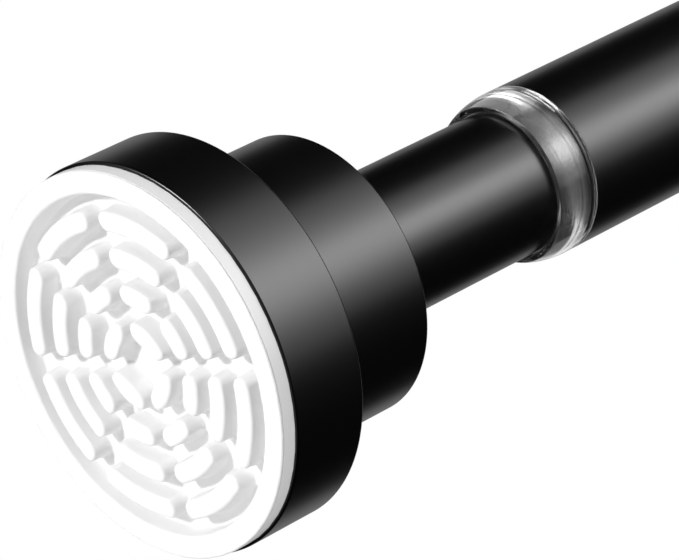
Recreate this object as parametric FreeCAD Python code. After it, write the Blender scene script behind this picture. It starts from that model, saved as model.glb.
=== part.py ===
import FreeCAD, Part
import math
import os

from FreeCAD import Vector

# A spring tension rod that stands between two walls.
# Frame: the rod lies along X. The origin is the centre of the fixed end's wall face, and +X is that face's
# outward normal, so the whole rod lies on the minus X side. +Z is up. All sizes are in mm.
# An end's own pieces are drawn from their wall face, with depth growing along +X into the rod.

# How far the rod reaches
closed_length = 400.0
exposed_tube = 35.85
closed_gap = 1.85
lock_room = 36.0

# Tubes
outer_tube_radius = 12.7
inner_tube_radius = 10.75
tube_wall = 0.7

# Wall pad
pad_inset = 0.4
pad_proud = 2.5
pad_edge = 0.4
pad_spigot_depth = 5.0
pad_fit = 0.1
rim_width = 3.3
relief_depth = 3.2
rib_width = 2.95
groove_width = 2.2
slot_rim_width = 2.7
slot_axis_width = 1.15
slot_count = 8

# End cap
cup_radius = 27.9
cup_wall = 2.2
cup_length = 12.05
collar_radius = 20.45
collar_length = 19.8
cup_edge = 0.4
collar_edge = 0.4
cap_web = 3.0

# Cap screw and tube plug
screw_radius = 1.75
screw_length = 16.0
screw_hole_fit = 0.3
screw_head_radius = 3.8
screw_head_height = 2.4
screw_head_room = 0.6
screw_head_edge = 0.9
cross_width = 1.1
cross_span = 4.4
cross_depth = 1.4
pilot_fit = 0.05
plug_flange = 1.5
plug_length = 20.0

# Clear guide ring in the outer tube's mouth
guide_proud = 6.6
guide_nose_radius = 11.7
guide_sleeve_length = 18.0
guide_lead_in = 0.6
dome_fullness = 0.7
bead_length = 0.9
bead_groove_length = 0.5
bead_groove_depth = 0.3

# Fits between pieces
press_gap = 0.05
running_gap = 0.1
flank_gap = 0.3

# Bush in the inner tube's inner end
bush_flange = 2.5
bush_spigot_length = 14.0
bush_lip = 0.55

# Spindle
shank_flats = 7.0
shank_fit = 0.1
shank_tail = 2.2
seat_lip = 0.7
seat_thickness = 2.5
journal_radius = 4.6
thread_radius = 4.0
clip_thickness = 0.8
clip_groove_depth = 0.8
clip_reach = 2.0
clip_gap = 0.1
clip_mouth = 5.2

# Spring and its washer
spring_length = 34.0
spring_radius = 9.0
spring_wire = 1.8
spring_turns = 4.0
wire_sides = 6
washer_thickness = 0.8
washer_hole_fit = 0.3

# Lock sleeve, cone nut and their stop
hub_length = 7.0
finger_length = 28.0
finger_count = 4
finger_slot = 2.6
finger_relief = 0.3
finger_wall = 2.1
nut_length = 13.0
nut_taper = 1.0 / 15.0
nut_stand_off = 5.0
nut_cone_gap = 0.4
nut_stop_gap = 0.3
thread_fit = 0.1
nut_key_reach = 0.9
end_washer_radius = 6.5
end_washer_thickness = 1.2
end_screw_radius = 2.0
end_screw_length = 12.0

# Sizes that follow from the ones above
rest_length = closed_length + exposed_tube - closed_gap
pad_radius = cup_radius - pad_inset
relief_radius = pad_radius - rim_width
rib_pitch = rib_width + groove_width
rib_rings = int(relief_radius / rib_pitch)
outer_rib_radius = relief_radius - groove_width - rib_width / 2
cup_bore = cup_radius - cup_wall
cup_back = pad_proud + cup_length
collar_back = cup_back + collar_length
web_front = pad_proud + pad_spigot_depth
web_back = web_front + cap_web
tube_seat = web_back + plug_flange
outer_bore = outer_tube_radius - tube_wall
inner_bore = inner_tube_radius - tube_wall
guide_nose = collar_back + exposed_tube
outer_mouth = guide_nose + guide_proud
shank_corner = shank_flats / math.sqrt(3)
shank_groove_radius = shank_flats / 2 - clip_groove_depth
thread_groove_radius = thread_radius - clip_groove_depth
clip_radius = journal_radius + clip_reach
seat_radius = spring_radius + spring_wire / 2 + seat_lip
thread_bore = thread_radius + thread_fit
slide_radius = outer_bore - running_gap
finger_radius = slide_radius - finger_relief
finger_mouth_bore = finger_radius - finger_wall
nut_radius = finger_mouth_bore - nut_cone_gap + nut_stand_off * nut_taper

# Places along the spring and lock, from the inner tube's inner end towards the fixed end
washer_start = bush_flange
spring_start = washer_start + washer_thickness
seat_start = spring_start + spring_length
journal_start = seat_start + seat_thickness
hub_start = journal_start + clip_gap
hub_end = hub_start + hub_length
journal_clip_start = hub_end + clip_gap
sleeve_mouth = hub_end + finger_length
nut_end = sleeve_mouth + nut_stand_off
nut_start = nut_end - nut_length
spindle_end = nut_end + nut_stop_gap
end_washer_back = spindle_end + end_washer_thickness
lock_end = end_washer_back + screw_head_height
shank_clip_start = -bush_spigot_length - clip_thickness - clip_gap
shank_end = shank_clip_start - shank_tail

# The inner tube reaches in until the lock stands its room away from the fixed end's plug
fixed_plug_end = rest_length - tube_seat - plug_length
inner_tube_end = fixed_plug_end - lock_room - lock_end
rod_axis = Vector(1, 0, 0)
origin = Vector(0, 0, 0)


# Drawing helpers


def turned(outline):
    """Turn a closed outline of (x, radius) points about the rod's axis."""
    points = [Vector(x, radius, 0) for x, radius in outline]
    face = Part.Face(Part.makePolygon(points + points[:1]))
    return face.revolve(origin, rod_axis, 360)


def rod(x, length, radius):
    """A round bar on the axis from x."""
    return Part.makeCylinder(radius, length, Vector(x, 0, 0), rod_axis)


def block(x, length, y, width, z, height):
    """A box with its low corner at x, y, z."""
    return Part.makeBox(length, width, height, Vector(x, y, z))


def hexagon(x, length, flats):
    """A six-sided bar on the axis from x, measured across its flats."""
    corner = flats / math.sqrt(3)
    angles = [math.radians(60 * side) for side in range(6)]
    points = [Vector(x, corner * math.cos(a), corner * math.sin(a)) for a in angles]
    return Part.Face(Part.makePolygon(points + points[:1])).extrude(rod_axis * length)


def turned_about_rod(shape, degrees):
    """A copy of the shape, turned about the rod's axis."""
    copy = shape.copy()
    copy.rotate(origin, rod_axis, degrees)
    return copy


def around(shape, count, first=0.0):
    """Copies of the shape, evenly spaced about the rod's axis."""
    return [turned_about_rod(shape, first + 360.0 * i / count) for i in range(count)]


def moved(shape, x):
    """A copy of the shape, moved along the rod."""
    copy = shape.copy()
    copy.translate(rod_axis * x)
    return copy


def chamfered_rings(solid, size, *rings):
    """Chamfer the circular edges at the given (x, radius) places."""
    edges = []
    for x, radius in rings:
        for edge in solid.Edges:
            curve = edge.Curve
            if not isinstance(curve, Part.Circle):
                continue
            if abs(curve.Radius - radius) < 1e-6 and abs(curve.Center.x - x) < 1e-6:
                edges.append(edge)
    return solid.makeChamfer(size, edges)


# Wall pad


def rib_ring(radius, ring_slots, first_slot):
    """One ring of raised ribs: a band cut by slots that widen towards the rim."""
    band = rod(0, relief_depth, radius + rib_width / 2).cut(rod(0, relief_depth, radius - rib_width / 2))
    axis_half = slot_axis_width / 2
    rim_half = slot_rim_width / 2
    corners = [(0, -axis_half), (relief_radius, -rim_half), (relief_radius, rim_half), (0, axis_half)]
    points = [Vector(0, y, z) for y, z in corners]
    slot = Part.Face(Part.makePolygon(points + points[:1])).extrude(rod_axis * relief_depth)
    return band.cut(around(slot, ring_slots, first_slot))


def wall_pad():
    """Rubber pad: a disc with a rim, rings of ribs on a sunk floor, and a spigot that fills the cup."""
    spigot_radius = cup_bore - pad_fit
    pad = chamfered_rings(rod(0, pad_proud, pad_radius), pad_edge, (0, pad_radius))
    pad = pad.fuse(rod(pad_proud, pad_spigot_depth, spigot_radius))
    pad = pad.cut(rod(0, relief_depth, relief_radius))
    slot_step = 360.0 / slot_count
    inner_slots = slot_count // 2
    raised = []
    for ring in range(rib_rings - 1):
        raised.append(rib_ring(outer_rib_radius - ring * rib_pitch, slot_count, slot_step / 2))
    inner_rib_radius = outer_rib_radius - (rib_rings - 1) * rib_pitch
    raised.append(rib_ring(inner_rib_radius, inner_slots, slot_step * 1.5))
    pad = pad.fuse(raised)
    head_pocket_depth = screw_head_height + screw_head_room / 2
    head_pocket = rod(web_front - head_pocket_depth, head_pocket_depth, screw_head_radius + screw_head_room)
    return pad.cut(head_pocket).removeSplitter()


# End cap


def end_cap(tube_radius):
    """Stepped moulding: a cup for the pad, and a narrower collar with a socket for the tube."""
    socket_bore = tube_radius + running_gap
    screw_hole = screw_radius + screw_hole_fit
    cap = turned(
        [
            (pad_proud, cup_bore),
            (pad_proud, cup_radius),
            (cup_back, cup_radius),
            (cup_back, collar_radius),
            (collar_back, collar_radius),
            (collar_back, socket_bore),
            (web_back, socket_bore),
            (web_back, screw_hole),
            (web_front, screw_hole),
            (web_front, cup_bore),
        ]
    )
    cap = chamfered_rings(cap, cup_edge, (pad_proud, cup_radius), (cup_back, cup_radius))
    return chamfered_rings(cap, collar_edge, (collar_back, collar_radius))


def screw(head_back, radius, length, head_radius):
    """Pan-head screw with a cross recess, its shank running inward from the head."""
    head = rod(head_back - screw_head_height, screw_head_height, head_radius)
    head = chamfered_rings(head, screw_head_edge, (head_back - screw_head_height, head_radius))
    point_start = head_back + length - radius
    shank = turned(
        [
            (head_back, 0),
            (head_back, radius),
            (point_start, radius),
            (head_back + length, 0),
        ]
    )
    cross_x = head_back - screw_head_height
    arm = block(cross_x, cross_depth, -cross_span / 2, cross_span, -cross_width / 2, cross_width)
    return head.fuse(shank).cut([arm, turned_about_rod(arm, 90)]).removeSplitter()


def tube_plug(tube_radius):
    """Moulded plug in a tube's end: a flange that the tube butts on, and a body with a pilot hole."""
    body_radius = tube_radius - tube_wall - press_gap
    plug = rod(web_back, plug_flange, tube_radius).fuse(rod(tube_seat, plug_length, body_radius))
    pilot = rod(web_back, plug_flange + plug_length, screw_radius + pilot_fit)
    return plug.cut(pilot).removeSplitter()


# Tubes and the guide ring


def tube(start, end, radius):
    """A thin-walled tube."""
    return rod(start, end - start, radius).cut(rod(start, end - start, radius - tube_wall))


def guide_ring():
    """Clear ring: a domed nose and a bead in front of the outer tube's mouth, and a sleeve inside it."""
    bore = inner_tube_radius + running_gap
    sleeve_radius = outer_bore - press_gap
    sleeve_end = outer_mouth + guide_sleeve_length
    dome_end = outer_mouth - bead_length - bead_groove_length
    dome_top = outer_tube_radius - bead_groove_depth
    dome_middle = (guide_nose + dome_end) / 2
    middle_radius = guide_nose_radius + (dome_top - guide_nose_radius) * dome_fullness
    return turned(
        [
            (guide_nose, bore + guide_lead_in),
            (guide_nose, guide_nose_radius),
            (dome_middle, middle_radius),
            (dome_end, outer_tube_radius),
            (dome_end, dome_top),
            (outer_mouth - bead_length, dome_top),
            (outer_mouth - bead_length, outer_tube_radius),
            (outer_mouth, outer_tube_radius),
            (outer_mouth, sleeve_radius),
            (sleeve_end, sleeve_radius),
            (sleeve_end, bore),
            (guide_nose + guide_lead_in, bore),
        ]
    )


# Spring and lock, drawn from the inner tube's inner end


def end_bush():
    """Bush pressed into the inner tube: a flange on the tube's end and a hexagonal hole."""
    bush = rod(-bush_spigot_length, bush_spigot_length, inner_bore - press_gap)
    bush = bush.fuse(rod(0, bush_flange, inner_tube_radius + bush_lip))
    hole = hexagon(-bush_spigot_length, bush_spigot_length + bush_flange, shank_flats + 2 * shank_fit)
    return bush.cut(hole).removeSplitter()


def plain_washer(x, thickness, radius, hole_radius):
    """A flat washer."""
    return rod(x, thickness, radius).cut(rod(x, thickness, hole_radius))


def spindle():
    """Hexagonal shank, spring seat, journal and threaded end, with a groove for each clip."""
    shape = hexagon(shank_end, seat_start - shank_end, shank_flats)
    shape = shape.fuse(rod(seat_start, seat_thickness, seat_radius))
    shape = shape.fuse(rod(journal_start, journal_clip_start - journal_start, journal_radius))
    shape = shape.fuse(rod(journal_clip_start, spindle_end - journal_clip_start, thread_radius))
    screw_hole = rod(spindle_end - end_screw_length, end_screw_length, end_screw_radius + pilot_fit)
    shank_groove = plain_washer(shank_clip_start, clip_thickness, shank_flats, shank_groove_radius)
    thread_groove = plain_washer(journal_clip_start, clip_thickness, journal_radius, thread_groove_radius)
    return shape.cut([shank_groove, thread_groove, screw_hole]).removeSplitter()


def spring_clip(x, groove_radius):
    """Open clip pushed sideways into a groove."""
    ring = plain_washer(x, clip_thickness, clip_radius, groove_radius + press_gap)
    return ring.cut(block(x, clip_thickness, 0, clip_radius, -clip_mouth / 2, clip_mouth))


def spring():
    """Compression spring: its wire is drawn with flats, and both ends are ground flush."""
    lead = spring_length / spring_turns
    run_out = spring_wire
    path = Part.makeHelix(lead, spring_length + 2 * run_out, spring_radius)
    step = 2 * math.pi / wire_sides
    angles = [step * (side + 0.5) for side in range(wire_sides)]
    wire_radius = spring_wire / 2
    points = [Vector(spring_radius + wire_radius * math.cos(a), 0, wire_radius * math.sin(a)) for a in angles]
    section = Part.makePolygon(points + points[:1])
    coil = Part.Wire(path.Edges).makePipeShell([section], True, True)
    coil.rotate(origin, Vector(0, 1, 0), 90)
    coil = moved(coil, spring_start - run_out)
    return coil.common(rod(spring_start, spring_length, spring_radius + spring_wire))


def nut_radius_at(x):
    """The cone nut's radius at x."""
    return nut_radius - (nut_end - x) * nut_taper


def lock_sleeve():
    """Hub on the spindle's journal and split fingers, bored to the nut's taper."""
    inner_start = nut_radius_at(hub_end) + nut_cone_gap
    sleeve = turned(
        [
            (hub_start, journal_radius + running_gap / 2),
            (hub_start, slide_radius),
            (hub_end, slide_radius),
            (hub_end, finger_radius),
            (sleeve_mouth, finger_radius),
            (sleeve_mouth, finger_mouth_bore),
            (hub_end, inner_start),
            (hub_end, journal_radius + running_gap / 2),
        ]
    )
    slot = block(hub_end, finger_length, 0, outer_bore, -finger_slot / 2, finger_slot)
    return sleeve.cut(around(slot, finger_count)).removeSplitter()


def cone_nut():
    """Nut with a tapered body and keys that run between the fingers."""
    nut = turned(
        [
            (nut_start, thread_bore),
            (nut_start, nut_radius_at(nut_start)),
            (nut_end, nut_radius),
            (nut_end, thread_bore),
        ]
    )
    key_width = finger_slot - 2 * flank_gap
    key_base = (thread_bore + nut_radius_at(nut_start)) / 2
    key_height = nut_radius + nut_key_reach - key_base
    key = block(nut_start, nut_length, key_base, key_height, -key_width / 2, key_width)
    return nut.fuse(around(key, finger_count)).removeSplitter()


# Placing and writing the pieces


def facing_back(shape, x):
    """Turn a piece end for end about Z and put its origin at x."""
    copy = shape.copy()
    copy.rotate(origin, Vector(0, 0, 1), 180)
    return moved(copy, x)


def to_near_end(shape):
    """Place an end's pieces at the moving end."""
    return moved(shape, -rest_length)


def to_far_end(shape):
    """Place an end's pieces at the fixed end, facing the other way."""
    return facing_back(shape, 0)


def to_lock(shape):
    """Place the spring's and the lock's pieces at the inner tube's inner end."""
    return moved(shape, inner_tube_end - rest_length)


def all_pieces():
    """Every piece of the rod in its place, by name."""
    bush_washer = plain_washer(washer_start, washer_thickness, seat_radius, shank_corner + washer_hole_fit)
    washer_hole = end_screw_radius + screw_hole_fit
    end_washer = plain_washer(spindle_end, end_washer_thickness, end_washer_radius, washer_hole)
    end_screw = facing_back(screw(0, end_screw_radius, end_screw_length, screw_head_radius), end_washer_back)
    return {
        "pad_near": to_near_end(wall_pad()),
        "cap_near": to_near_end(end_cap(inner_tube_radius)),
        "cap_screw_near": to_near_end(screw(web_front, screw_radius, screw_length, screw_head_radius)),
        "plug_near": to_near_end(tube_plug(inner_tube_radius)),
        "inner_tube": to_near_end(tube(tube_seat, inner_tube_end, inner_tube_radius)),
        "guide_ring": to_near_end(guide_ring()),
        "outer_tube": to_near_end(tube(outer_mouth, rest_length - tube_seat, outer_tube_radius)),
        "pad_far": to_far_end(wall_pad()),
        "cap_far": to_far_end(end_cap(outer_tube_radius)),
        "cap_screw_far": to_far_end(screw(web_front, screw_radius, screw_length, screw_head_radius)),
        "plug_far": to_far_end(tube_plug(outer_tube_radius)),
        "end_bush": to_lock(end_bush()),
        "bush_washer": to_lock(bush_washer),
        "spring": to_lock(spring()),
        "spindle": to_lock(spindle()),
        "shank_clip": to_lock(spring_clip(shank_clip_start, shank_groove_radius)),
        "lock_sleeve": to_lock(lock_sleeve()),
        "journal_clip": to_lock(spring_clip(journal_clip_start, thread_groove_radius)),
        "cone_nut": to_lock(cone_nut()),
        "end_washer": to_lock(end_washer),
        "end_screw": to_lock(end_screw),
    }


os.makedirs("parts", exist_ok=True)
for name, shape in all_pieces().items():
    shape.exportStep("parts/" + name + ".step")
    print(name, "solids", len(shape.Solids), "valid", shape.isValid(), "volume", round(shape.Volume, 1))
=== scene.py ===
import math

import bpy
import numpy as np
from mathutils import Matrix, Vector


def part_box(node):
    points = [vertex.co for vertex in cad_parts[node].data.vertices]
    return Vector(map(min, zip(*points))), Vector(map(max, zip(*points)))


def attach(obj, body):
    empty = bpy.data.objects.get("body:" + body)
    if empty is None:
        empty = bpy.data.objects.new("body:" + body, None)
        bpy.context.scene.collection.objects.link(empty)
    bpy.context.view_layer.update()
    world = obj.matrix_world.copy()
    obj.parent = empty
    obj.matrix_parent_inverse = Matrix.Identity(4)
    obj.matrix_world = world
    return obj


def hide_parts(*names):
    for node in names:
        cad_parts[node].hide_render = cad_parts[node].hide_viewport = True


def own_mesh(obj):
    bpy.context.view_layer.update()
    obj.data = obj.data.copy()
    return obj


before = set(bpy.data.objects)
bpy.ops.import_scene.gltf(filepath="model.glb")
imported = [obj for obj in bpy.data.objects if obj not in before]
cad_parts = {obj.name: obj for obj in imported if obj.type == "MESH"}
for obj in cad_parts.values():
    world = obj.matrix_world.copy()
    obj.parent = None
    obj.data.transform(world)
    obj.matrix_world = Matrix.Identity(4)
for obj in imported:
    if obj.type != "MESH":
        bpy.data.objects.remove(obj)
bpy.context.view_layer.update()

# A spring tension rod: the looks of every piece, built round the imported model.
# The pieces' sizes are in mm and become metres when a mesh is made; the studio's are in metres.
mm = 0.001
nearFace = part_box("pad_near")[0].x / mm      # the moving end's wall face
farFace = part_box("pad_far")[1].x / mm        # the fixed end's wall face
nearSide, farSide = -1, 1                    # which way along the rod each wall face looks
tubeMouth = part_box("outer_tube")[0].x / mm
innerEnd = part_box("inner_tube")[1].x / mm
innerTubeRadius = 10.75                      # the near cap fits on it
outerTubeRadius = 12.7                       # the far cap and the clear ring fit it
print("frame loaded", round(farFace - nearFace, 2), "mm long")


# Surfaces


def roundedOutline(corners, radii, steps=6, hold=0.12, holdShare=0.3):
    # Each corner of a closed outline becomes an arc that touches both its sides. The arc's centre lies on
    # the corner's bisector at radius / sin(half angle). Its points turn evenly from one touching point to
    # the other: each mixes the two by the sines of the sweeps left and done, over the whole sweep's sine.
    # One more point is held close to each end of an arc, at most a share of the straight stretch away, so
    # that flat faces shade flat. A corner so takes steps + 3 points.
    corners = np.array(corners, float)
    radii = np.array(radii, float)
    before = np.roll(corners, 1, 0) - corners
    after = np.roll(corners, -1, 0) - corners
    lengthBefore = np.linalg.norm(before, axis=1)
    lengthAfter = np.linalg.norm(after, axis=1)
    before /= lengthBefore[:, None]
    after /= lengthAfter[:, None]
    angle = np.arccos(np.clip((before * after).sum(1), -1, 1))
    reach = radii / np.tan(angle / 2)
    bisector = before + after
    bisector /= np.linalg.norm(bisector, axis=1)[:, None]
    centre = corners + bisector * (radii / np.sin(angle / 2))[:, None]
    start = corners + before * reach[:, None] - centre
    end = corners + after * reach[:, None] - centre
    sweep = math.pi - angle
    share = np.linspace(0, 1, steps + 1)
    startWeight = np.sin((1 - share)[None, :] * sweep[:, None]) / np.sin(sweep)[:, None]
    endWeight = np.sin(share[None, :] * sweep[:, None]) / np.sin(sweep)[:, None]
    arcs = centre[:, None] + startWeight[..., None] * start[:, None] + endWeight[..., None] * end[:, None]
    holdBefore = np.minimum(hold, holdShare * (lengthBefore - reach - np.roll(reach, 1)))[:, None]
    holdAfter = np.minimum(hold, holdShare * (lengthAfter - reach - np.roll(reach, -1)))[:, None]
    leadIn = arcs[:, :1] + (before * holdBefore)[:, None]
    leadOut = arcs[:, -1:] + (after * holdAfter)[:, None]
    return np.concatenate([leadIn, arcs, leadOut], axis=1).reshape(-1, 2)


def gridMesh(name, points, closedRows=False, firstPole=None, lastPole=None):
    # A grid of points, rows by columns, becomes quads; each row always joins up into a ring. A pole is one
    # point joined to a whole row by triangles. The volume that the faces enclose goes by the sum of each
    # triangle's first corner times the cross product of the other two. Where it comes out negative, the
    # faces' order is turned over, so that they point outwards.
    rows, columns, _ = points.shape
    index = np.arange(rows * columns).reshape(rows, columns)
    upper = np.roll(index, -1, 0) if closedRows else index[1:]
    lower = index if closedRows else index[:-1]
    quads = np.stack([lower, np.roll(lower, -1, 1), np.roll(upper, -1, 1), upper], -1).reshape(-1, 4)
    vertices = points.reshape(-1, 3)
    triangles = np.zeros((0, 3), int)
    if firstPole is not None:
        pole = np.full(columns, len(vertices))
        vertices = np.vstack([vertices, firstPole])
        triangles = np.vstack([triangles, np.stack([np.roll(index[0], -1), index[0], pole], -1)])
    if lastPole is not None:
        pole = np.full(columns, len(vertices))
        vertices = np.vstack([vertices, lastPole])
        triangles = np.vstack([triangles, np.stack([index[-1], np.roll(index[-1], -1), pole], -1)])
    halves = np.concatenate([quads[:, [0, 1, 2]], quads[:, [0, 2, 3]], triangles])
    first, second, third = vertices[halves].transpose(1, 0, 2)
    volume = (first * np.cross(second, third)).sum()
    if volume < 0:
        quads = quads[:, ::-1]
        triangles = triangles[:, ::-1]
    corners = np.concatenate([quads.ravel(), triangles.ravel()]).astype(np.int32)
    counts = np.concatenate([np.full(len(quads), 4), np.full(len(triangles), 3)])
    starts = np.concatenate([[0], np.cumsum(counts)[:-1]]).astype(np.int32)
    mesh = bpy.data.meshes.new(name)
    mesh.vertices.add(len(vertices))
    mesh.vertices.foreach_set("co", (vertices * mm).astype(np.float32).ravel())
    mesh.loops.add(len(corners))
    mesh.loops.foreach_set("vertex_index", corners)
    mesh.polygons.add(len(counts))
    mesh.polygons.foreach_set("loop_start", starts)
    mesh.polygons.foreach_set("use_smooth", np.ones(len(counts), bool))
    mesh.update(calc_edges=True)
    mesh.validate()
    piece = bpy.data.objects.new(name, mesh)
    bpy.context.scene.collection.objects.link(piece)
    return piece


def turned(x, radius, turn):
    # Points round the rod's axis: y and z are the radius times the cosine and the sine of the turn.
    return np.stack([x + 0 * turn, radius * np.cos(turn), radius * np.sin(turn)], -1)


def lathe(name, outline, segments=256):
    # A closed outline of (x, radius) points is carried round the rod's axis in even steps.
    turn = np.linspace(0, 2 * math.pi, segments, endpoint=False)
    return gridMesh(name, turned(outline[:, :1], outline[:, 1:], turn), closedRows=True)


def atEnd(points, face, side):
    # Depth from a wall face becomes a place along the rod; the fixed end is the moving end turned about Z.
    # An outline holds x and radius only, which has no sign to turn.
    placed = points.copy()
    placed[..., 0] = face - side * points[..., 0]
    if points.shape[-1] == 3:
        placed[..., 1] = -side * points[..., 1]
    return placed


# Materials


def toLinear(hexColour):
    # sRGB hex to linear: the lower stretch is divided by 12.92, the rest follows the 2.4 power curve.
    value = np.array([int(hexColour[i : i + 2], 16) for i in (1, 3, 5)]) / 255
    linear = np.where(value <= 0.04045, value / 12.92, ((value + 0.055) / 1.055) ** 2.4)
    return [*linear.tolist(), 1.0]


def addNode(tree, kind, links=None, inputs=None, **settings):
    # A node with the sockets linked to its inputs, its other inputs' values and its own settings, each by
    # name or, where inputs share a name, by number.
    node = tree.nodes.new(kind)
    for name, value in settings.items():
        setattr(node, name, value)
    for name, value in (inputs or {}).items():
        node.inputs[name].default_value = value
    for name, socket in (links or {}).items():
        tree.links.new(socket, node.inputs[name])
    return node


def newMaterial(name):
    # A material with an empty node tree.
    material = bpy.data.materials.new(name)
    material.use_nodes = True
    material.node_tree.nodes.clear()
    return material, material.node_tree


def mouldedWhiteRubber():
    # Thermoplastic rubber, injection moulded: white and matt, with a very fine spark-eroded grain.
    look = {"colour": "#EEEEEE", "roughness": 0.55, "ior": 1.5, "grain": 0.35, "depth": 0.012}
    material, tree = newMaterial("mouldedWhiteRubber")
    place = addNode(tree, "ShaderNodeTexCoord").outputs["Object"]
    grain = addNode(tree, "ShaderNodeTexNoise", {"Vector": place},
                    {"Scale": 1 / (look["grain"] * mm), "Detail": 3.0, "Roughness": 0.6})
    bump = addNode(tree, "ShaderNodeBump", {"Height": grain.outputs["Fac"]},
                   {"Strength": 0.25, "Distance": look["depth"] * mm})
    shader = addNode(tree, "ShaderNodeBsdfPrincipled", {"Normal": bump.outputs["Normal"]},
                     {"Base Color": toLinear(look["colour"]), "Roughness": look["roughness"],
                      "IOR": look["ior"]})
    addNode(tree, "ShaderNodeOutputMaterial", {"Surface": shader.outputs["BSDF"]})
    return material


def mouldedSatinAbs():
    # ABS, injection moulded with a fine satin grain: deep black with a broad soft highlight.
    look = {"colour": "#030303", "smoothest": 0.28, "roughest": 0.32, "ior": 1.5,
            "grain": 0.3, "depth": 0.006}
    material, tree = newMaterial("mouldedSatinAbs")
    place = addNode(tree, "ShaderNodeTexCoord").outputs["Object"]
    grain = addNode(tree, "ShaderNodeTexNoise", {"Vector": place},
                    {"Scale": 1 / (look["grain"] * mm), "Detail": 4.0, "Roughness": 0.55})
    rough = addNode(tree, "ShaderNodeMapRange", {"Value": grain.outputs["Fac"]},
                    {"To Min": look["smoothest"], "To Max": look["roughest"]})
    bump = addNode(tree, "ShaderNodeBump", {"Height": grain.outputs["Fac"]},
                   {"Strength": 0.2, "Distance": look["depth"] * mm})
    shader = addNode(tree, "ShaderNodeBsdfPrincipled",
                     {"Normal": bump.outputs["Normal"], "Roughness": rough.outputs["Result"]},
                     {"Base Color": toLinear(look["colour"]), "IOR": look["ior"]})
    addNode(tree, "ShaderNodeOutputMaterial", {"Surface": shader.outputs["BSDF"]})
    return material


def stovedBlackEnamel():
    # Steel tube with a stoved black enamel: smooth and satin, with a faint orange peel from the spray.
    look = {"colour": "#030303", "smoothest": 0.28, "roughest": 0.32, "ior": 1.5,
            "peel": 1.4, "depth": 0.004}
    material, tree = newMaterial("stovedBlackEnamel")
    place = addNode(tree, "ShaderNodeTexCoord").outputs["Object"]
    peel = addNode(tree, "ShaderNodeTexNoise", {"Vector": place},
                   {"Scale": 1 / (look["peel"] * mm), "Detail": 2.0, "Roughness": 0.4})
    rough = addNode(tree, "ShaderNodeMapRange", {"Value": peel.outputs["Fac"]},
                    {"To Min": look["smoothest"], "To Max": look["roughest"]})
    bump = addNode(tree, "ShaderNodeBump", {"Height": peel.outputs["Fac"]},
                   {"Strength": 0.2, "Distance": look["depth"] * mm})
    shader = addNode(tree, "ShaderNodeBsdfPrincipled",
                     {"Normal": bump.outputs["Normal"], "Roughness": rough.outputs["Result"]},
                     {"Base Color": toLinear(look["colour"]), "IOR": look["ior"]})
    addNode(tree, "ShaderNodeOutputMaterial", {"Surface": shader.outputs["BSDF"]})
    return material


def mouldedClearAcrylic():
    # Acrylic, injection moulded and nearly clear: glassy, with a faint smoky milkiness and flow lines that
    # run round it, longer round the rod than along it.
    look = {"colour": "#DADADA", "roughness": 0.1, "ior": 1.49, "milk": 0.025,
            "lineWidth": 0.7, "lineLength": 7.0, "depth": 0.05}
    material, tree = newMaterial("mouldedClearAcrylic")
    place = addNode(tree, "ShaderNodeTexCoord").outputs["Object"]
    alongRod, roundRod = 1 / (look["lineWidth"] * mm), 1 / (look["lineLength"] * mm)
    stretch = addNode(tree, "ShaderNodeMapping", {"Vector": place},
                      {"Scale": (alongRod, roundRod, roundRod)})
    flow = addNode(tree, "ShaderNodeTexNoise", {"Vector": stretch.outputs["Vector"]},
                   {"Scale": 1.0, "Detail": 2.0, "Roughness": 0.5})
    bump = addNode(tree, "ShaderNodeBump", {"Height": flow.outputs["Fac"]},
                   {"Strength": 0.4, "Distance": look["depth"] * mm})
    shader = addNode(tree, "ShaderNodeBsdfPrincipled", {"Normal": bump.outputs["Normal"]},
                     {"Base Color": toLinear(look["colour"]), "Roughness": look["roughness"],
                      "IOR": look["ior"], "Transmission Weight": 1 - look["milk"]})
    addNode(tree, "ShaderNodeOutputMaterial", {"Surface": shader.outputs["BSDF"]})
    return material


def mouldedNaturalNylon():
    # Nylon, moulded and left its natural colour: waxy off-white with a soft translucent edge.
    look = {"colour": "#DCD8CA", "roughness": 0.45, "ior": 1.53, "grain": 0.5, "depth": 0.01,
            "glowDepth": 0.5}
    material, tree = newMaterial("mouldedNaturalNylon")
    place = addNode(tree, "ShaderNodeTexCoord").outputs["Object"]
    grain = addNode(tree, "ShaderNodeTexNoise", {"Vector": place},
                    {"Scale": 1 / (look["grain"] * mm), "Detail": 3.0})
    bump = addNode(tree, "ShaderNodeBump", {"Height": grain.outputs["Fac"]},
                   {"Strength": 0.2, "Distance": look["depth"] * mm})
    shader = addNode(tree, "ShaderNodeBsdfPrincipled", {"Normal": bump.outputs["Normal"]},
                     {"Base Color": toLinear(look["colour"]), "Roughness": look["roughness"],
                      "IOR": look["ior"], "Subsurface Weight": 0.1,
                      "Subsurface Scale": look["glowDepth"] * mm})
    addNode(tree, "ShaderNodeOutputMaterial", {"Surface": shader.outputs["BSDF"]})
    return material


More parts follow.
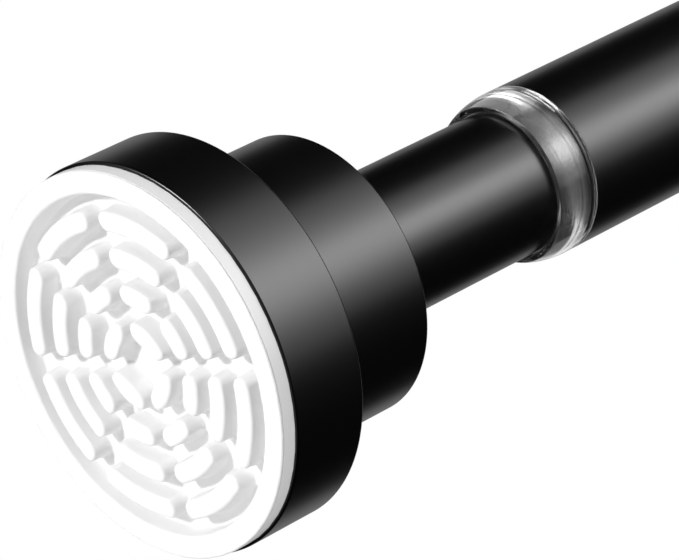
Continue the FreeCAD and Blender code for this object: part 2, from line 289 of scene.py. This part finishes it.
def turnedZincPlatedSteel():
    # Mild steel, turned or pressed and bright zinc plated: pale blue-grey metal with fine lathe lines. The
    # wave texture turns by 20 radians in each unit of its scale.
    look = {"colour": "#B9BDC2", "smoothest": 0.26, "roughest": 0.38, "linePitch": 0.493, "waveTurn": 20}
    material, tree = newMaterial("turnedZincPlatedSteel")
    place = addNode(tree, "ShaderNodeTexCoord").outputs["Object"]
    lines = addNode(tree, "ShaderNodeTexWave", {"Vector": place},
                    {"Scale": 2 * math.pi / (look["waveTurn"] * look["linePitch"] * mm), "Distortion": 1.5,
                     "Detail": 2.0},
                    wave_type="BANDS", bands_direction="X")
    rough = addNode(tree, "ShaderNodeMapRange", {"Value": lines.outputs["Fac"]},
                    {"To Min": look["smoothest"], "To Max": look["roughest"]})
    shader = addNode(tree, "ShaderNodeBsdfPrincipled", {"Roughness": rough.outputs["Result"]},
                     {"Base Color": toLinear(look["colour"]), "Metallic": 1.0})
    addNode(tree, "ShaderNodeOutputMaterial", {"Surface": shader.outputs["BSDF"]})
    return material


def drawnOiledSpringSteel():
    # Spring steel, cold drawn and oiled: dark grey metal with a low sheen and faint drawing streaks.
    look = {"colour": "#6E6F73", "smoothest": 0.3, "roughest": 0.46, "streak": 0.8}
    material, tree = newMaterial("drawnOiledSpringSteel")
    place = addNode(tree, "ShaderNodeTexCoord").outputs["Object"]
    streak = addNode(tree, "ShaderNodeTexNoise", {"Vector": place},
                     {"Scale": 1 / (look["streak"] * mm), "Detail": 3.0})
    rough = addNode(tree, "ShaderNodeMapRange", {"Value": streak.outputs["Fac"]},
                    {"To Min": look["smoothest"], "To Max": look["roughest"]})
    shader = addNode(tree, "ShaderNodeBsdfPrincipled", {"Roughness": rough.outputs["Result"]},
                     {"Base Color": toLinear(look["colour"]), "Metallic": 1.0})
    addNode(tree, "ShaderNodeOutputMaterial", {"Surface": shader.outputs["BSDF"]})
    return material


whiteRubber = mouldedWhiteRubber()
satinAbs = mouldedSatinAbs()
blackEnamel = stovedBlackEnamel()
clearAcrylic = mouldedClearAcrylic()
nylon = mouldedNaturalNylon()
zincSteel = turnedZincPlatedSteel()
springSteel = drawnOiledSpringSteel()
print("materials ready", len(bpy.data.materials))


def dress(piece, material, body, slot, *nodes):
    # The piece gets its material, rides on its body and takes the place of the imported nodes.
    piece.data.materials.clear()
    piece.data.materials.append(material)
    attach(piece, body)
    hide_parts(*nodes)
    return piece


# Wall pads: a ribbed rubber disc

padSizes = {
    "radius": 27.5, "proud": 2.5, "edgeRound": 0.28, "rimInside": 24.2,
    "seamBehind": 0.42, "seamHalf": 0.1, "seamDeep": 0.24, "seamRound": 0.02,
    "depth": 3.1, "ribWidth": 2.95, "grooveWidth": 2.2, "ribRings": 4, "ribCorner": 1.38,
    "slotAtAxis": 1.4, "slotAtRim": 2.7, "slots": 8,
    "topRound": 0.45, "draft": 0.14, "footRound": 0.5,
    "spigotRadius": 25.6, "backDepth": 7.5, "pocketRadius": 4.4, "pocketDepth": 2.7,
    "rimRound": 0.12, "backRound": 0.1, "arcSteps": 8,
    # Where the surface gets its points: shares of a lip, a foot and a slot's floor, and places on a rib's
    # top, in from its edge
    "lipShares": (0, 0.3, 0.55, 0.75, 0.9, 1.0), "footShares": (0, 0.08, 0.25, 0.5, 0.75, 1.0),
    "floorShares": (0, 0.5), "topRows": (0.55, 0.8, 1.05, 1.25), "topColumns": (0.5, 0.75, 1.0, 1.25, 1.45),
    # Rows at the middle and in from the pad's edge
    "middleFrom": 0.25, "middleTo": 2.4, "middleRows": 8, "edgeRows": (0.1, 1.0),
    # Columns: the least step, the number that fills a rib's middle, the share of the way to the next slot
    # that a wide slot's columns keep to, and the radii between which the columns change course
    "leastStep": 0.01, "fillColumns": 4, "wideReach": 0.8, "changeFrom": 6.9, "changeTo": 8.3,
}


def wallDepth(outside, sizes):
    # Depth below the face at a distance outside a rib: a lip and a foot that are quarter circles, and
    # between them a drafted wall, whose height is what they leave of the depth.
    lip, draft, foot = sizes["topRound"], sizes["draft"], sizes["footRound"]
    onLip = np.clip((outside + lip) / lip, 0, 1)
    lipDepth = lip * (1 - np.sqrt(np.clip(1 - onLip**2, 0, 1)))
    onWall = np.clip(outside / draft, 0, 1)
    wallHeight = sizes["depth"] - lip - foot
    onFoot = np.clip((outside - draft) / foot, 0, 1)
    footDepth = foot * np.sqrt(np.clip(1 - (1 - onFoot) ** 2, 0, 1))
    return lipDepth + onWall * wallHeight + footDepth


def cornered(acrossOne, acrossOther, corner):
    # Distance outside a shape bounded by two sides, with its corner rounded: the larger of the two
    # distances, and past the corner's round the straight distance to its centre, less its radius.
    one, other = acrossOne + corner, acrossOther + corner
    beside = np.minimum(np.maximum(one, other), 0)
    return beside + np.hypot(np.maximum(one, 0), np.maximum(other, 0)) - corner


def slotHalf(radius, sizes):
    # Half of a slot's width, which grows evenly from the axis to the rim.
    growth = (sizes["slotAtRim"] - sizes["slotAtAxis"]) / sizes["rimInside"]
    return (sizes["slotAtAxis"] + growth * radius) / 2


def ringMiddles(sizes):
    # The rib rings' middle radii: the outermost is a groove and half a rib inside the rim, and the others
    # follow inwards a rib and a groove apart.
    outermost = sizes["rimInside"] - sizes["grooveWidth"] - sizes["ribWidth"] / 2
    return outermost - (sizes["ribWidth"] + sizes["grooveWidth"]) * np.arange(sizes["ribRings"])


def padDepth(radius, turn, sizes):
    # Depth below the face of every point of the pad, from its distance outside the nearest rib or the rim.
    # A rib is a band of a ring, ended by the sides of two slots. The slots lie half a step off the sides,
    # and the innermost ring has every second one. A point is off a slot's line by its radius times the
    # angle's sine.
    slotStep = 2 * math.pi / sizes["slots"]
    fromSlot = np.abs(turn % slotStep - slotStep / 2)
    offSlot = radius * np.sin(fromSlot)
    fromWide = np.abs((turn - slotStep / 2) % (2 * slotStep) - slotStep)
    offWide = np.where(fromWide < math.pi / 2, radius * np.sin(fromWide), radius)
    outside = sizes["rimInside"] - radius
    for ring, middle in enumerate(ringMiddles(sizes)):
        acrossRing = np.abs(radius - middle) - sizes["ribWidth"] / 2
        innermost = ring == sizes["ribRings"] - 1
        acrossSlot = slotHalf(radius, sizes) - (offWide if innermost else offSlot)
        outside = np.minimum(outside, cornered(acrossRing, acrossSlot, sizes["ribCorner"]))
    return np.maximum(wallDepth(outside, sizes), 0)


def wallStations(sizes):
    # Distances outside a rib where the wall's curve needs points.
    draft = sizes["draft"]
    onLip = sizes["topRound"] * (np.array(sizes["lipShares"]) - 1)
    onFoot = draft + sizes["footRound"] * np.array(sizes["footShares"])
    return np.concatenate([onLip, [draft / 2], onFoot])


def padRows(sizes):
    # Radii of the pad's rows: every wall has the stations across it, and the rest is filled evenly.
    stations = wallStations(sizes)
    onTop = np.array(sizes["topRows"])
    half = sizes["ribWidth"] / 2
    rows = [sizes["rimInside"] - stations]
    for middle in ringMiddles(sizes):
        rows += [middle - half - stations, middle + half + stations]
        rows += [middle - half + onTop, middle + half - onTop]
        rows.append(np.array([middle, middle + half + sizes["grooveWidth"] / 2]))
    rows.append(np.linspace(sizes["middleFrom"], sizes["middleTo"], sizes["middleRows"]))
    edge = sizes["radius"] - sizes["edgeRound"]
    rows.append(edge - np.array(sizes["edgeRows"]))
    rows = np.unique(np.round(np.concatenate(rows), decimals=4))
    return rows[(rows > 0) & (rows <= edge)]


def padTurns(radius, sizes):
    # Angles of the pad's columns in each row. Near every slot they run beside its sides, at the stations of
    # its walls: the angle's sine is the distance from the slot's line over the radius. Close to the middle
    # they keep to the wide slots and share the rest evenly. Between the two radii of the change they turn
    # evenly from one course to the other.
    rows = radius[:, None]
    half = slotHalf(rows, sizes)
    stations = -wallStations(sizes)[::-1]
    floor = np.maximum(half + stations[0], 0) * np.array(sizes["floorShares"])
    onTop = half + np.array(sizes["topColumns"])
    offsets = np.concatenate([floor, np.maximum(half + stations, 0), onTop], 1)
    offsets = np.maximum(offsets, sizes["leastStep"] * np.arange(offsets.shape[1]))
    slotStep = 2 * math.pi / sizes["slots"]
    reach = offsets[:, -1:] / np.sin(slotStep / 2)
    fill = np.linspace(0, 1, sizes["fillColumns"] + 2)[1:-1]
    fromWide = np.arcsin(np.clip(offsets / np.maximum(rows, reach), 0, 1))
    fromNarrow = slotStep - fromWide[:, ::-1]
    gap = fromNarrow[:, :1] - fromWide[:, -1:]
    outerPart = np.concatenate([fromWide, fromWide[:, -1:] + gap * fill, fromNarrow], 1)
    kept = floor.shape[1] + len(stations) + 1
    keptPart = np.arcsin(np.clip(offsets[:, :kept] / rows, 0, 1))
    keptPart = keptPart * np.minimum(sizes["wideReach"] * slotStep / keptPart[:, -1:], 1)
    restCount = outerPart.shape[1] - kept
    rest = keptPart[:, -1:] + (slotStep - keptPart[:, -1:]) * np.arange(1, restCount + 1) / restCount
    innerPart = np.concatenate([keptPart, rest], 1)
    share = np.clip((rows - sizes["changeFrom"]) / (sizes["changeTo"] - sizes["changeFrom"]), 0, 1)
    part = outerPart * share + innerPart * (1 - share)
    wide = np.concatenate([part[:, :-1], 2 * slotStep - part[:, :0:-1]], 1)
    starts = 1.5 * slotStep + 2 * slotStep * np.arange(sizes["slots"] // 2)
    return (starts[None, :, None] + wide[:, None, :]).reshape(len(radius), -1)


def wallPad(name, sizes, face, side):
    # The front is a sheet of rows and columns with its depth from padDepth. The side with its moulded line,
    # the back and its pocket are turned from an outline that goes on from the sheet's last row, at that
    # row's angles. The outline's last two corners lie on the axis and only close it, so they are cut off
    # again.
    radius = padRows(sizes)
    turn = padTurns(radius, sizes)
    front = padDepth(radius[:, None] + 0 * turn, turn, sizes)
    seam, half = sizes["seamBehind"], sizes["seamHalf"]
    pocket = sizes["backDepth"] - sizes["pocketDepth"]
    corners = [
        (0, sizes["radius"]), (seam - half, sizes["radius"]), (seam, sizes["radius"] - sizes["seamDeep"]),
        (seam + half, sizes["radius"]), (sizes["proud"], sizes["radius"]),
        (sizes["proud"], sizes["spigotRadius"]), (sizes["backDepth"], sizes["spigotRadius"]),
        (sizes["backDepth"], sizes["pocketRadius"]), (pocket, sizes["pocketRadius"]), (pocket, 0), (0, 0),
    ]
    rounds = [sizes["edgeRound"]] + [sizes["seamRound"]] * 3 + [sizes["rimRound"]]
    rounds += [sizes["backRound"]] * 4 + [sizes["seamRound"]] * 2
    outline = roundedOutline(corners, rounds, steps=sizes["arcSteps"])
    cornerPoints = len(outline) // len(corners)
    outline = outline[1 : -2 * cornerPoints]
    sideAndBack = turned(outline[:, :1], outline[:, 1:], turn[-1])
    points = np.concatenate([turned(front, radius[:, None], turn), sideAndBack])
    poles = atEnd(np.array([[sizes["depth"], 0, 0], [pocket, 0, 0]]), face, side)
    return gridMesh(name, atEnd(points, face, side), firstPole=poles[0], lastPole=poles[1])


padNear = wallPad("padNear", padSizes, nearFace, nearSide)
dress(padNear, whiteRubber, "inner_tube_body", "pad_rubber", "pad_near")
padFar = wallPad("padFar", padSizes, farFace, farSide)
dress(padFar, whiteRubber, "outer_tube_body", "pad_rubber", "pad_far")
print("pads built", len(padNear.data.polygons), "faces each")


# End caps: a stepped moulding, turned from its outline

capSizes = {
    "lip": 2.5, "cupRadius": 27.9, "cupBore": 25.7, "cupBack": 14.55, "collarRadius": 20.45,
    "collarBack": 34.35, "webFront": 7.5, "webBack": 10.5, "screwHole": 2.05, "socketGap": 0.1,
    "lipInnerRound": 0.2, "lipRound": 0.3, "cupRound": 0.4, "stepRound": 0.12, "collarRound": 0.35,
    "socketRound": 0.25, "insideRound": 0.08, "arcSteps": 8,
}


def endCap(name, sizes, tubeRadius, face, side):
    # One closed outline turned round the axis: the cup's lip, the step down to the collar, a socket that is
    # the tube's radius and a gap wide, and the web with the screw's hole between socket and cup.
    socket = tubeRadius + sizes["socketGap"]
    corners = [
        (sizes["lip"], sizes["cupBore"]), (sizes["lip"], sizes["cupRadius"]),
        (sizes["cupBack"], sizes["cupRadius"]), (sizes["cupBack"], sizes["collarRadius"]),
        (sizes["collarBack"], sizes["collarRadius"]), (sizes["collarBack"], socket),
        (sizes["webBack"], socket), (sizes["webBack"], sizes["screwHole"]),
        (sizes["webFront"], sizes["screwHole"]), (sizes["webFront"], sizes["cupBore"]),
    ]
    rounds = [
        sizes["lipInnerRound"], sizes["lipRound"], sizes["cupRound"], sizes["stepRound"],
        sizes["collarRound"], sizes["socketRound"],
    ]
    rounds += [sizes["insideRound"]] * 4
    outline = roundedOutline(corners, rounds, steps=sizes["arcSteps"])
    return lathe(name, atEnd(outline, face, side))


capNear = endCap("capNear", capSizes, innerTubeRadius, nearFace, nearSide)
dress(capNear, satinAbs, "inner_tube_body", "cap_plastic", "cap_near")
capFar = endCap("capFar", capSizes, outerTubeRadius, farFace, farSide)
dress(capFar, satinAbs, "outer_tube_body", "cap_plastic", "cap_far")
print("caps built")


# Tubes

tubeSizes = {"wall": 0.7, "seat": 12.0, "edgeRound": 0.15, "arcSteps": 4, "segments": 192}


def thinTube(name, start, end, radius, sizes):
    # A rectangle, as long as the tube and as thick as its wall, turned round the axis.
    bore = radius - sizes["wall"]
    corners = [(start, bore), (start, radius), (end, radius), (end, bore)]
    outline = roundedOutline(corners, [sizes["edgeRound"]] * 4, steps=sizes["arcSteps"])
    return lathe(name, outline, segments=sizes["segments"])


innerTube = thinTube("innerTube", nearFace + tubeSizes["seat"], innerEnd, innerTubeRadius, tubeSizes)
dress(innerTube, blackEnamel, "inner_tube_body", "tube_paint", "inner_tube")
outerTube = thinTube("outerTube", tubeMouth, farFace - tubeSizes["seat"], outerTubeRadius, tubeSizes)
dress(outerTube, blackEnamel, "outer_tube_body", "tube_paint", "outer_tube")
print("tubes built")


# Clear guide ring: a domed nose and beads in front of the outer tube's mouth, a sleeve inside it

ringSizes = {
    "bore": 10.85, "proud": 6.6, "noseRadius": 11.75, "sleeveRadius": 11.95, "sleeveLength": 18.0,
    "domePoints": 24, "bulge": 0.35, "beads": 2, "beadPitch": 0.75, "beadDepth": 0.24, "beadPoints": 16,
    "mouthStep": 0.1, "noseStep": 0.05, "stepRound": 0.04, "sleeveRound": 0.2, "noseRound": 0.35,
}


def guideRing(name, sizes, mouth):
    # The dome's radius rises as a sine, from the nose to the outer tube's radius, while its place along the
    # rod runs by the bulge's share as in an ellipse and otherwise evenly. Then come round beads, where the
    # radius dips as the square of a sine. The sleeve is straight.
    nose = mouth - sizes["proud"]
    beadsLength = sizes["beads"] * sizes["beadPitch"]
    domeLength = sizes["proud"] - beadsLength
    onDome = np.linspace(0, 1, sizes["domePoints"])
    ellipse = 1 - np.cos(onDome * math.pi / 2)
    domeX = nose + domeLength * (sizes["bulge"] * ellipse + (1 - sizes["bulge"]) * onDome)
    rise = outerTubeRadius - sizes["noseRadius"]
    domeRadius = sizes["noseRadius"] + rise * np.sin(onDome * math.pi / 2)
    onBeads = np.linspace(0, 1, sizes["beadPoints"] * sizes["beads"] + 1)[1:]
    beadX = mouth - beadsLength * (1 - onBeads)
    beadRadius = outerTubeRadius - sizes["beadDepth"] * np.sin(onBeads * math.pi * sizes["beads"]) ** 2
    outer = np.stack([np.concatenate([domeX, beadX]), np.concatenate([domeRadius, beadRadius])], -1)
    end = mouth + sizes["sleeveLength"]
    corners = [
        (mouth, outerTubeRadius - sizes["mouthStep"]), (mouth, sizes["sleeveRadius"]),
        (end, sizes["sleeveRadius"]), (end, sizes["bore"]), (nose, sizes["bore"]),
        (nose, sizes["noseRadius"] - sizes["noseStep"]),
    ]
    rounds = [sizes["stepRound"]] * 2 + [sizes["sleeveRound"]] * 2
    rounds += [sizes["noseRound"], sizes["stepRound"]]
    inner = roundedOutline(corners, rounds)
    return lathe(name, np.concatenate([outer, inner]))


guide = guideRing("guideRing", ringSizes, tubeMouth)
dress(guide, clearAcrylic, "outer_tube_body", "clear_plastic", "guide_ring")
print("guide ring built")


# Spring: a wire carried along a helix, with its ends ground flat

springSizes = {"radius": 9.0, "wire": 1.8, "turns": 4.5, "pathPoints": 240, "wirePoints": 16}


def coilSpring(name, sizes, start, end):
    # The wire's middle turns about the rod's axis while it moves evenly along it. Each ring of the wire
    # lies across that line, and the wire is flattened where it would pass the spring's seats.
    share = np.linspace(0, 1, sizes["pathPoints"])
    turn = 2 * math.pi * sizes["turns"] * share
    along = start + sizes["wire"] / 2 + (end - start - sizes["wire"]) * share
    middle = turned(along, sizes["radius"], turn)
    tangent = np.gradient(middle, axis=0)
    tangent /= np.linalg.norm(tangent, axis=1)[:, None]
    outward = turned(0, 1, turn)
    across = np.cross(tangent, outward)
    around = np.linspace(0, 2 * math.pi, sizes["wirePoints"], endpoint=False)[None, :, None]
    wire = np.cos(around) * outward[:, None] + np.sin(around) * across[:, None]
    points = middle[:, None] + sizes["wire"] / 2 * wire
    points[..., 0] = np.clip(points[..., 0], start, end)
    return gridMesh(name, points, firstPole=middle[0], lastPole=middle[-1])


springStart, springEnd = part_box("spring")[0].x / mm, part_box("spring")[1].x / mm
spring = coilSpring("pressSpring", springSizes, springStart, springEnd)
dress(spring, springSteel, "spindle_body", "spring_steel", "spring")
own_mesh(spring)
print("spring built")


# Inner pieces keep their solids and take the finish of what they are made of

finishes = {
    "plug_near": nylon, "plug_far": nylon, "end_bush": nylon, "lock_sleeve": nylon, "cone_nut": nylon,
    "cap_screw_near": zincSteel, "cap_screw_far": zincSteel, "end_screw": zincSteel,
    "end_washer": zincSteel, "bush_washer": zincSteel, "shank_clip": zincSteel, "journal_clip": zincSteel,
    "spindle": zincSteel,
}
for node, material in finishes.items():
    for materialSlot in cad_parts[node].material_slots:
        materialSlot.material = material
print("inner pieces dressed", len(finishes))


# Camera: the photograph's viewing angle

cameraSizes = {
    "turn": 44.98, "drop": 30.18, "lens": 222.88, "sensor": 36.0,
    "cupRight": -25.06, "cupUp": -10.63, "cupAway": 555.89, "nearest": 0.01, "furthest": 100,
}


def placeCamera(sizes):
    # The camera looks along the rod turned sideways by its turn and down by its drop. It stands so that the
    # middle of the near cup's lip lies the stated lengths to its right, above its middle and away from it.
    turn, drop = math.radians(sizes["turn"]), math.radians(sizes["drop"])
    right = Vector((math.sin(turn), -math.cos(turn), 0))
    ahead = Vector((math.cos(drop) * math.cos(turn), math.cos(drop) * math.sin(turn), -math.sin(drop)))
    up = right.cross(ahead)
    cupFront = Vector((nearFace + capSizes["lip"], 0, 0))
    place = cupFront - right * sizes["cupRight"] - up * sizes["cupUp"] - ahead * sizes["cupAway"]
    data = bpy.data.cameras.new("photoCamera")
    data.lens, data.sensor_width = sizes["lens"], sizes["sensor"]
    data.clip_start, data.clip_end = sizes["nearest"], sizes["furthest"]
    camera = bpy.data.objects.new("photoCamera", data)
    axes = Matrix((right, up, -ahead)).transposed().to_4x4()
    camera.matrix_world = Matrix.Translation(place * mm) @ axes
    bpy.context.scene.collection.objects.link(camera)
    bpy.context.scene.camera = camera
    return right, up, ahead


right, up, ahead = placeCamera(cameraSizes)


# Studio: white all round for the camera and for light through clear plastic, one graded soft box along the
# rod, a white backdrop panel that only reflections see, small lights for the pads' relief, and discs that
# only the clear ring or a cap's lip mirrors

studio = {
    "middle": (-0.38, 0, 0), "white": "#FFFFFF", "reflected": 0.012, "ambient": 0.32,
    "floorDrop": 0.6, "floorSize": 40.0,
    "boxTurn": 12.0, "boxDistance": 1.2, "boxAlong": 1.05, "boxLength": 2.4, "boxWidth": 2.88,
    "boxPower": 163.0, "boxSoftPower": 20.0,
    "boxFade": (0.0, 0.14, 0.15, 0.37, 0.81, 1.0, 0.46, 0.25, 0.19, 0.1, 0.0),
    "panelDistance": 2.0, "panelSize": 2.6, "panelPower": 7.5,
    # The pads' lights: from above, from below, from the front into the grooves, and from behind for the side
    "padKey": {"tilt": 33.0, "turn": 70.0, "distance": 1.5, "size": 0.2, "power": 17.2},
    "padSide": {"tilt": 68.0, "turn": 268.0, "distance": 1.5, "size": 0.8, "power": 3.9},
    "padFront": {"tilt": 12.0, "turn": 190.0, "distance": 0.25, "size": 0.12, "power": 0.165},
    "padBand": {"tilt": 102.0, "turn": 150.0, "distance": 1.5, "size": 0.3, "power": 6.8},
    # What the clear ring shows above, below and along its beads, and what a cap's lip shows as a light line
    "ringAbove": {"direction": (0.2, 0.8, 0.57), "distance": 1.5, "size": 2.1, "power": 20.0},
    "ringBelow": {"direction": (0.45, 0.1, -0.88), "distance": 1.5, "size": 1.3, "power": 3.6},
    "ringBeads": {"direction": (-0.6, 0.42, 0.68), "distance": 1.5, "size": 1.2, "power": 60.0},
    "lipLine": {"direction": (-0.68, 0.4, 0.61), "distance": 1.5, "size": 0.6, "power": 38.0},
}


def areaLight(name, place, axes, size, power, shape="RECTANGLE"):
    # An area light that the camera doesn't see. Its axes are along its two sizes and out of its back.
    data = bpy.data.lights.new(name, "AREA")
    data.shape, data.size, data.size_y, data.energy = shape, size[0], size[1], power
    light = bpy.data.objects.new(name, data)
    light.matrix_world = Matrix.Translation(place) @ Matrix(axes).transposed().to_4x4()
    light.visible_camera = False
    bpy.context.scene.collection.objects.link(light)
    return light


def gradedSoftBox(sizes, name, power, forReflections):
    # A soft box parallel to the rod, turned upwards about it from the camera's side. Its brightness across
    # the rod follows the fade's steps, evenly spaced. Reflections and matt surfaces see it at their own
    # power.
    turn = math.radians(sizes["boxTurn"])
    along = Vector((1, 0, 0))
    facing = -Vector((0, ahead.y, ahead.z)).normalized()
    outward = facing * math.cos(turn) + facing.cross(along) * math.sin(turn)
    upward = outward.cross(along)
    middle = Vector(sizes["middle"]) + outward * sizes["boxDistance"] + along * sizes["boxAlong"]
    size = (sizes["boxLength"], sizes["boxWidth"])
    light = areaLight(name, middle, (along, upward, outward), size, power)
    light.visible_glossy = forReflections
    light.visible_transmission = forReflections
    light.visible_diffuse = not forReflections
    light.data.use_nodes = True
    tree = light.data.node_tree
    tree.nodes.clear()
    place = addNode(tree, "ShaderNodeNewGeometry").outputs["Position"]
    lift = addNode(tree, "ShaderNodeVectorMath", {0: place}, {1: tuple(upward / sizes["boxWidth"])},
                   operation="DOT_PRODUCT")
    share = addNode(tree, "ShaderNodeMath", {0: lift.outputs["Value"]}, {1: 0.5}, operation="ADD")
    fade = addNode(tree, "ShaderNodeValToRGB", {"Fac": share.outputs[0]})
    ramp = fade.color_ramp
    steps = sizes["boxFade"]
    while len(ramp.elements) < len(steps):
        ramp.elements.new(0.5)
    for number, level in enumerate(steps):
        ramp.elements[number].position = number / (len(steps) - 1)
        ramp.elements[number].color = (level, level, level, 1)
    glow = addNode(tree, "ShaderNodeEmission", {"Strength": fade.outputs["Color"]})
    addNode(tree, "ShaderNodeOutputLight", {"Surface": glow.outputs[0]})


def backdropPanel(sizes):
    # A white disc behind the rod, square to the camera, that only mirrors show.
    place = Vector(sizes["middle"]) + ahead * sizes["panelDistance"]
    light = areaLight("backdropPanel", place, (right, -up, ahead), (sizes["panelSize"],) * 2,
                      sizes["panelPower"], "DISK")
    light.visible_diffuse = False
    light.visible_transmission = False


def receivers(name, piece):
    # The one piece that a light shines on.
    collection = bpy.data.collections.new(name)
    collection.objects.link(piece)
    return collection


def discLight(name, look, x, away, only):
    # A disc that faces a place on the rod from a direction away from it and shines on one piece alone.
    level = away.orthogonal().normalized()
    place = Vector((x * mm, 0, 0)) + away * look["distance"]
    axes = (level, away.cross(level), away)
    light = areaLight(name, place, axes, (look["size"],) * 2, look["power"], "DISK")
    light.light_linking.receiver_collection = only
    return light


def padLight(name, look, face, side, pad):
    # A small disc that lights one pad from a direction: its tilt away from the pad's normal, and its turn
    # about the rod, from the photograph's left towards up. It has no mirror image in the rubber.
    tilt, turn = math.radians(look["tilt"]), math.radians(look["turn"])
    sideways, upwards = math.sin(tilt) * math.cos(turn), math.sin(tilt) * math.sin(turn)
    light = discLight(name, look, face, Vector((side * math.cos(tilt), -side * sideways, upwards)), pad)
    light.visible_glossy = False
    light.visible_transmission = False


def mirrorLight(name, look, x, side, only):
    # A white disc that shows in one piece alone, as the bright room would. At the fixed end its direction is
    # the moving end's turned about Z.
    away = Vector(look["direction"]).normalized()
    light = discLight(name, look, x, Vector((-side * away.x, -side * away.y, away.z)), only)
    light.visible_diffuse = False


def whiteWorld(sizes):
    # The camera and light through clear plastic see white; reflections and soft light see their own levels.
    world = bpy.data.worlds.new("studio")
    world.use_nodes = True
    tree = world.node_tree
    tree.nodes.clear()
    path = addNode(tree, "ShaderNodeLightPath")
    white = toLinear(sizes["white"])
    soft = addNode(tree, "ShaderNodeBackground", None, {"Color": white, "Strength": sizes["ambient"]})
    dim = addNode(tree, "ShaderNodeBackground", None, {"Color": white, "Strength": sizes["reflected"]})
    bright = addNode(tree, "ShaderNodeBackground", None, {"Color": white, "Strength": 1.0})
    surface = soft.outputs[0]
    for kind, level in (("Is Glossy Ray", dim), ("Is Transmission Ray", bright), ("Is Camera Ray", bright)):
        mix = addNode(tree, "ShaderNodeMixShader", {0: path.outputs[kind], 1: surface, 2: level.outputs[0]})
        surface = mix.outputs[0]
    addNode(tree, "ShaderNodeOutputWorld", {"Surface": surface})
    bpy.context.scene.world = world
    world.cycles.sampling_method = "NONE"        # it is as bright one way as another


def paleFloor(sizes):
    # A glowing white square under the rod, which lights and shades nothing and shows in no reflection.
    half = sizes["floorSize"] / 2
    low = -sizes["floorDrop"]
    mesh = bpy.data.meshes.new("floor")
    mesh.from_pydata([(-half, -half, low), (half, -half, low), (half, half, low), (-half, half, low)], [],
                     [(0, 1, 2, 3)])
    floor = bpy.data.objects.new("floor", mesh)
    material, tree = newMaterial("paleStudioFloor")
    glow = addNode(tree, "ShaderNodeEmission", None, {"Color": toLinear(sizes["white"]), "Strength": 1.0})
    addNode(tree, "ShaderNodeOutputMaterial", {"Surface": glow.outputs[0]})
    mesh.materials.append(material)
    floor.visible_glossy = False
    floor.visible_diffuse = False
    floor.visible_shadow = False
    bpy.context.scene.collection.objects.link(floor)


whiteWorld(studio)
paleFloor(studio)
gradedSoftBox(studio, "keySoftBox", studio["boxPower"], True)
gradedSoftBox(studio, "softLight", studio["boxSoftPower"], False)
backdropPanel(studio)
padNearOnly, padFarOnly = receivers("padNearOnly", padNear), receivers("padFarOnly", padFar)
for lightName in ("padKey", "padSide", "padFront", "padBand"):
    padLight(lightName + "Near", studio[lightName], nearFace, nearSide, padNearOnly)
    padLight(lightName + "Far", studio[lightName], farFace, farSide, padFarOnly)
ringOnly = receivers("ringOnly", guide)
for lightName in ("ringAbove", "ringBelow", "ringBeads"):
    mirrorLight(lightName, studio[lightName], tubeMouth, nearSide, ringOnly)
mirrorLight("lipLineNear", studio["lipLine"], nearFace, nearSide, receivers("capNearOnly", capNear))
mirrorLight("lipLineFar", studio["lipLine"], farFace, farSide, receivers("capFarOnly", capFar))
bpy.context.scene.view_settings.view_transform = "Standard"
print("studio ready")
